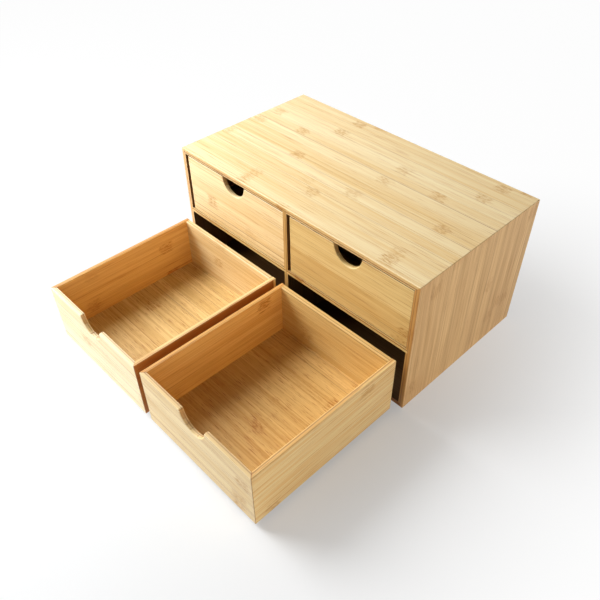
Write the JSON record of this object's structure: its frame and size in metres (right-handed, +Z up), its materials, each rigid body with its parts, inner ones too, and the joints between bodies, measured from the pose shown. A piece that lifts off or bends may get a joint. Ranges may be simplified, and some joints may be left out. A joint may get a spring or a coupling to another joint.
{
  "type": "desktop mini drawers",
  "caption": "Bamboo desktop drawer cabinet: mitred casing with divider and shelves, and sliding box drawers with half-round finger notches.",
  "frame": {"origin": "middle of the cabinet's underside, on the surface it stands on", "axes": "+X to the right seen from the front, +Y from the drawer fronts to the back, +Z up"},
  "size_m": [0.33, 0.3737, 0.158],
  "materials": {
    "bamboo_casing": "satin clear lacquer",
    "bamboo_drawer": "satin clear lacquer",
    "bamboo_drawer_floor": "satin clear lacquer"
  },
  "bodies": {
    "cabinet": {"top_panel": "bamboo_casing", "bottom_panel": "bamboo_casing", "left_side_panel": "bamboo_casing", "right_side_panel": "bamboo_casing", "back_panel": "bamboo_casing", "centre_divider": "bamboo_casing", "left_shelf": "bamboo_casing", "right_shelf": "bamboo_casing"},
    "upper_left_drawer": {"upper_left_drawer_front": "bamboo_drawer", "upper_left_drawer_back": "bamboo_drawer", "upper_left_drawer_left_side": "bamboo_drawer", "upper_left_drawer_right_side": "bamboo_drawer", "upper_left_drawer_floor": "bamboo_drawer_floor"},
    "upper_right_drawer": {"upper_right_drawer_front": "bamboo_drawer", "upper_right_drawer_back": "bamboo_drawer", "upper_right_drawer_left_side": "bamboo_drawer", "upper_right_drawer_right_side": "bamboo_drawer", "upper_right_drawer_floor": "bamboo_drawer_floor"},
    "lower_left_drawer": {"lower_left_drawer_front": "bamboo_drawer", "lower_left_drawer_back": "bamboo_drawer", "lower_left_drawer_left_side": "bamboo_drawer", "lower_left_drawer_right_side": "bamboo_drawer", "lower_left_drawer_floor": "bamboo_drawer_floor"},
    "lower_right_drawer": {"lower_right_drawer_front": "bamboo_drawer", "lower_right_drawer_back": "bamboo_drawer", "lower_right_drawer_left_side": "bamboo_drawer", "lower_right_drawer_right_side": "bamboo_drawer", "lower_right_drawer_floor": "bamboo_drawer_floor"}
  },
  "joints": [
    {"name": "upper_left_slide", "type": "slide", "parent": "cabinet", "child": "upper_left_drawer", "axis": [0, -1, 0], "range_m": [0, 0.15]},
    {"name": "upper_right_slide", "type": "slide", "parent": "cabinet", "child": "upper_right_drawer", "axis": [0, -1, 0], "range_m": [0, 0.15]},
    {"name": "lower_left_slide", "type": "slide", "parent": "cabinet", "child": "lower_left_drawer", "axis": [0, -1, 0], "range_m": [-0.1877, 0]},
    {"name": "lower_right_slide", "type": "slide", "parent": "cabinet", "child": "lower_right_drawer", "axis": [0, -1, 0], "range_m": [-0.1877, 0]}
  ]
}
